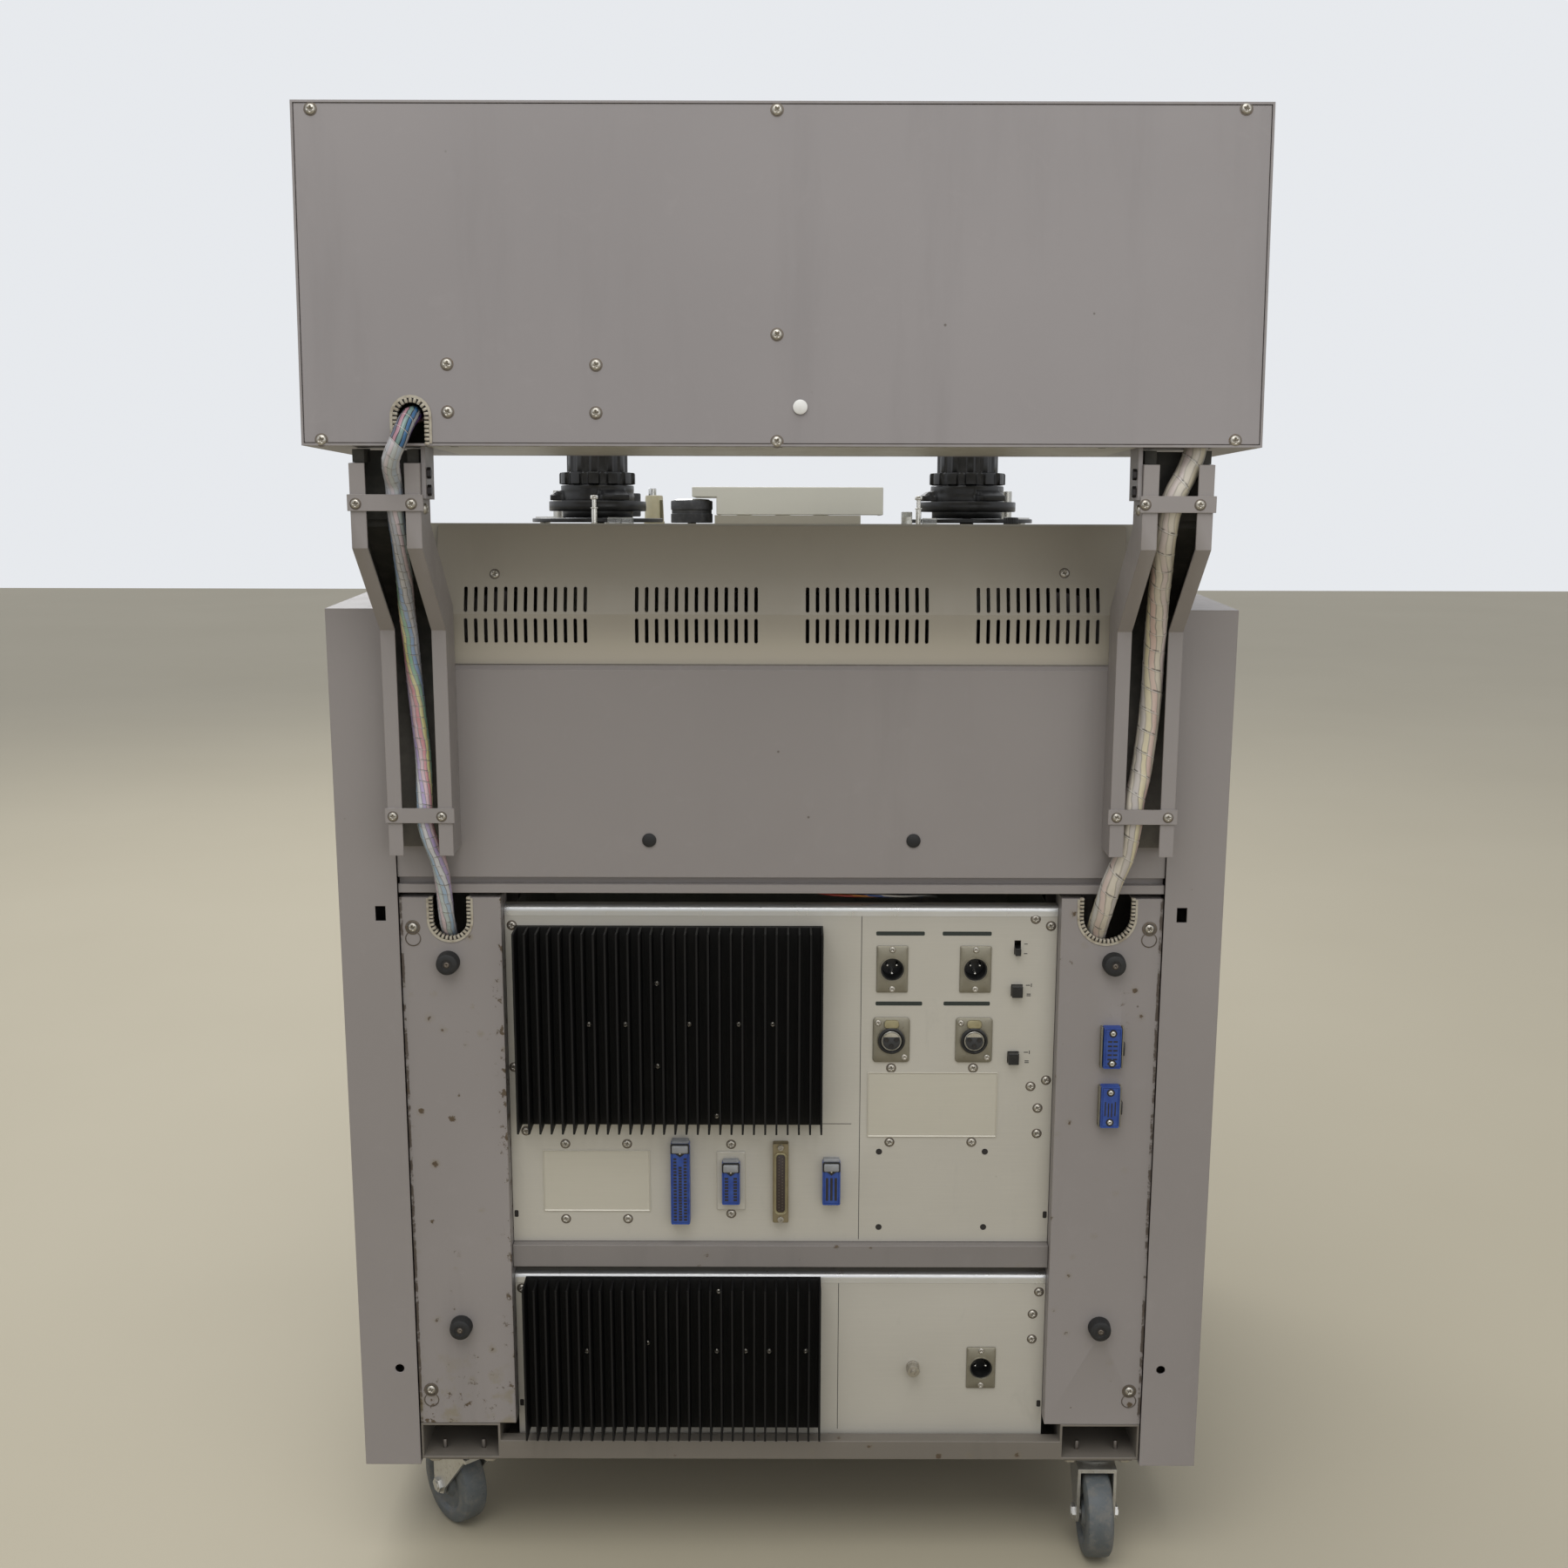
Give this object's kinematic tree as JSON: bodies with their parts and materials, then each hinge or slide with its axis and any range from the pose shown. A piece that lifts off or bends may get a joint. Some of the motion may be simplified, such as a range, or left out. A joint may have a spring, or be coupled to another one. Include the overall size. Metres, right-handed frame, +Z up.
{
  "type": "reel-to-reel tape deck",
  "caption": "Console studio tape deck on casters: tilted transport with two reel hubs, overbridge on bent arms, and finned electronics chassis with sockets at the rear.",
  "frame": {"origin": "on the floor, at the middle of the deck's width and depth without its looms", "axes": "+Z up, +Y to the rear with the sockets, +X to the operator's right"},
  "size_m": [0.7, 0.7712, 1.1656],
  "materials": {
    "taupe": "satin taupe-grey stoved paint, worn at the edges",
    "cream": "satin cream paint",
    "silver": "pale silver-cream panel finish",
    "black_anodised": "matt black anodised",
    "black_plastic": "moulded matt black",
    "black_metal": "satin black",
    "zinc": "bright zinc plate",
    "nickel": "dull nickel plate",
    "grey_rubber": "grey rubber",
    "sheath": "clear and cream spiral wrap over coloured wires",
    "deck_alloy": "cream paint on alloy"
  },
  "bodies": {
    "cabinet": {"side_panel_left": "taupe", "side_panel_right": "taupe", "base_frame": "taupe", "rear_cover_left": "taupe", "rear_cover_right": "taupe", "upper_back_panel": "taupe", "middle_crossbar": "taupe", "front_panel": "taupe", "arm_left": "taupe", "arm_right": "taupe", "bridge_case": "taupe", "bridge_rear_panel": "taupe", "control_panel": "silver", "audio_chassis": "silver", "power_chassis": "silver", "deck_rear_cover": "cream", "bridge_front_panel": "cream", "deck_plate": "deck_alloy", "audio_heat_sink": "black_anodised", "power_heat_sink": "black_anodised", "vu_meter_left": "black_plastic", "vu_meter_right": "black_plastic", "xlr_input_left": "nickel", "xlr_input_right": "nickel", "xlr_output_left": "nickel", "xlr_output_right": "nickel", "ac_inlet": "nickel", "cable_left": "sheath", "cable_right": "sheath"},
    "fork_rear_left": {"caster_fork_rear_left": "zinc"},
    "wheel_rear_left": {"caster_wheel_rear_left": "grey_rubber"},
    "fork_rear_right": {"caster_fork_rear_right": "zinc"},
    "wheel_rear_right": {"caster_wheel_rear_right": "grey_rubber"},
    "fork_front_left": {"caster_fork_front_left": "zinc"},
    "wheel_front_left": {"caster_wheel_front_left": "grey_rubber"},
    "fork_front_right": {"caster_fork_front_right": "zinc"},
    "wheel_front_right": {"caster_wheel_front_right": "grey_rubber"},
    "reel_left": {"reel_table_left": "black_metal", "hub_adapter_left": "black_metal"},
    "hub_knob_left": {"hub_knob_left": "black_plastic"},
    "tension_arm_left": {"tension_arm_left": "zinc"},
    "bridge_knob_left": {"bridge_knob_left": "black_plastic"},
    "reel_right": {"reel_table_right": "black_metal", "hub_adapter_right": "black_metal"},
    "hub_knob_right": {"hub_knob_right": "black_plastic"},
    "tension_arm_right": {"tension_arm_right": "zinc"},
    "bridge_knob_right": {"bridge_knob_right": "black_plastic"},
    "head_cover": {"head_cover": "cream"},
    "capstan": {"capstan": "zinc"},
    "guide_roller": {"guide_roller": "grey_rubber"},
    "pinch_arm": {"pinch_arm": "zinc"},
    "pinch_roller": {"pinch_roller": "grey_rubber"},
    "impedance_switch": {"impedance_switch": "black_plastic"},
    "input_level_button": {"input_level_button": "black_plastic"},
    "output_level_button": {"output_level_button": "black_plastic"},
    "rewind_button": {"rewind_button": "black_plastic"},
    "forward_button": {"forward_button": "black_plastic"},
    "stop_button": {"stop_button": "black_plastic"},
    "play_button": {"play_button": "black_plastic"},
    "record_button": {"record_button": "black_plastic"}
  },
  "joints": [
    {"name": "swivel_rear_left", "type": "hinge", "parent": "cabinet", "child": "fork_rear_left", "pos_m": [-0.27, 0.222, 0.0893], "axis": [0, 0, 1], "continuous": true},
    {"name": "roll_rear_left", "type": "hinge", "parent": "fork_rear_left", "child": "wheel_rear_left", "pos_m": [-0.27, 0.249, 0.037], "axis": [-1, 0, 0], "continuous": true},
    {"name": "swivel_rear_right", "type": "hinge", "parent": "cabinet", "child": "fork_rear_right", "pos_m": [0.27, 0.222, 0.0893], "axis": [0, 0, 1], "continuous": true},
    {"name": "roll_rear_right", "type": "hinge", "parent": "fork_rear_right", "child": "wheel_rear_right", "pos_m": [0.28736, 0.20132, 0.037], "axis": [0.766, 0.6428, 0], "continuous": true},
    {"name": "swivel_front_left", "type": "hinge", "parent": "cabinet", "child": "fork_front_left", "pos_m": [-0.27, -0.3, 0.0893], "axis": [0, 0, 1], "continuous": true},
    {"name": "roll_front_left", "type": "hinge", "parent": "fork_front_left", "child": "wheel_front_left", "pos_m": [-0.26077, -0.27463, 0.037], "axis": [-0.9397, 0.342, 0], "continuous": true},
    {"name": "swivel_front_right", "type": "hinge", "parent": "cabinet", "child": "fork_front_right", "pos_m": [0.27, -0.3, 0.0893], "axis": [0, 0, 1], "continuous": true},
    {"name": "roll_front_right", "type": "hinge", "parent": "fork_front_right", "child": "wheel_front_right", "pos_m": [0.26077, -0.27463, 0.037], "axis": [-0.9397, -0.342, 0], "continuous": true},
    {"name": "reel_spin_left", "type": "hinge", "parent": "cabinet", "child": "reel_left", "pos_m": [-0.1588, 0.07922, 0.86829], "axis": [0, -0.0541, 0.9985], "continuous": true},
    {"name": "hub_lock_left", "type": "hinge", "parent": "reel_left", "child": "hub_knob_left", "pos_m": [-0.1588, 0.07706, 0.90823], "axis": [0, -0.0541, 0.9985], "range_deg": [0, 60]},
    {"name": "tension_swing_left", "type": "hinge", "parent": "cabinet", "child": "tension_arm_left", "pos_m": [-0.225, -0.07555, 0.85991], "axis": [0, -0.0541, 0.9985], "range_deg": [-15, 15], "stiffness_Nm_per_rad": 0.05},
    {"name": "level_turn_left", "type": "hinge", "parent": "cabinet", "child": "bridge_knob_left", "pos_m": [-0.15, 0.22731, 0.97566], "axis": [0, -0.9945, 0.1049], "range_deg": [-150, 150]},
    {"name": "reel_spin_right", "type": "hinge", "parent": "cabinet", "child": "reel_right", "pos_m": [0.1588, 0.07922, 0.86829], "axis": [0, -0.0541, 0.9985], "continuous": true},
    {"name": "hub_lock_right", "type": "hinge", "parent": "reel_right", "child": "hub_knob_right", "pos_m": [0.1588, 0.07706, 0.90823], "axis": [0, -0.0541, 0.9985], "range_deg": [0, 60]},
    {"name": "tension_swing_right", "type": "hinge", "parent": "cabinet", "child": "tension_arm_right", "pos_m": [0.225, -0.07555, 0.85991], "axis": [0, -0.0541, 0.9985], "range_deg": [-15, 15], "stiffness_Nm_per_rad": 0.05},
    {"name": "level_turn_right", "type": "hinge", "parent": "cabinet", "child": "bridge_knob_right", "pos_m": [0.15, 0.22731, 0.97566], "axis": [0, -0.9945, 0.1049], "range_deg": [-150, 150]},
    {"name": "head_cover_hinge", "type": "hinge", "parent": "cabinet", "child": "head_cover", "pos_m": [0, -0.03306, 0.87052], "axis": [-1, 0, 0], "range_deg": [0, 75]},
    {"name": "capstan_spin", "type": "hinge", "parent": "cabinet", "child": "capstan", "pos_m": [0.124, -0.08854, 0.8592], "axis": [0, -0.0541, 0.9985], "continuous": true},
    {"name": "guide_spin", "type": "hinge", "parent": "cabinet", "child": "guide_roller", "pos_m": [0.0846, -0.05009, 0.86128], "axis": [0, -0.0541, 0.9985], "continuous": true},
    {"name": "pinch_swing", "type": "hinge", "parent": "cabinet", "child": "pinch_arm", "pos_m": [0.168, -0.12348, 0.85731], "axis": [0, -0.0541, 0.9985], "range_deg": [0, 10], "stiffness_Nm_per_rad": 0.2, "springref_deg": -5.73},
    {"name": "pinch_spin", "type": "hinge", "parent": "pinch_arm", "child": "pinch_roller", "pos_m": [0.151, -0.08508, 0.8694], "axis": [0, -0.0541, 0.9985], "continuous": true},
    {"name": "impedance_slide", "type": "slide", "parent": "cabinet", "child": "impedance_switch", "axis": [0, 0, 1], "range_m": [0, 0.005]},
    {"name": "input_level_press", "type": "slide", "parent": "cabinet", "child": "input_level_button", "axis": [0, -1, 0], "range_m": [0, 0.003], "stiffness_N_per_m": 150, "springref_m": -0.002},
    {"name": "output_level_press", "type": "slide", "parent": "cabinet", "child": "output_level_button", "axis": [0, -1, 0], "range_m": [0, 0.003], "stiffness_N_per_m": 150, "springref_m": -0.002},
    {"name": "rewind_press", "type": "slide", "parent": "cabinet", "child": "rewind_button", "axis": [0, 0.514, -0.8578], "range_m": [0, 0.003], "stiffness_N_per_m": 200, "springref_m": -0.002},
    {"name": "forward_press", "type": "slide", "parent": "cabinet", "child": "forward_button", "axis": [0, 0.514, -0.8578], "range_m": [0, 0.003], "stiffness_N_per_m": 200, "springref_m": -0.002},
    {"name": "stop_press", "type": "slide", "parent": "cabinet", "child": "stop_button", "axis": [0, 0.514, -0.8578], "range_m": [0, 0.003], "stiffness_N_per_m": 200, "springref_m": -0.002},
    {"name": "play_press", "type": "slide", "parent": "cabinet", "child": "play_button", "axis": [0, 0.514, -0.8578], "range_m": [0, 0.003], "stiffness_N_per_m": 200, "springref_m": -0.002},
    {"name": "record_press", "type": "slide", "parent": "cabinet", "child": "record_button", "axis": [0, 0.514, -0.8578], "range_m": [0, 0.003], "stiffness_N_per_m": 200, "springref_m": -0.002}
  ]
}
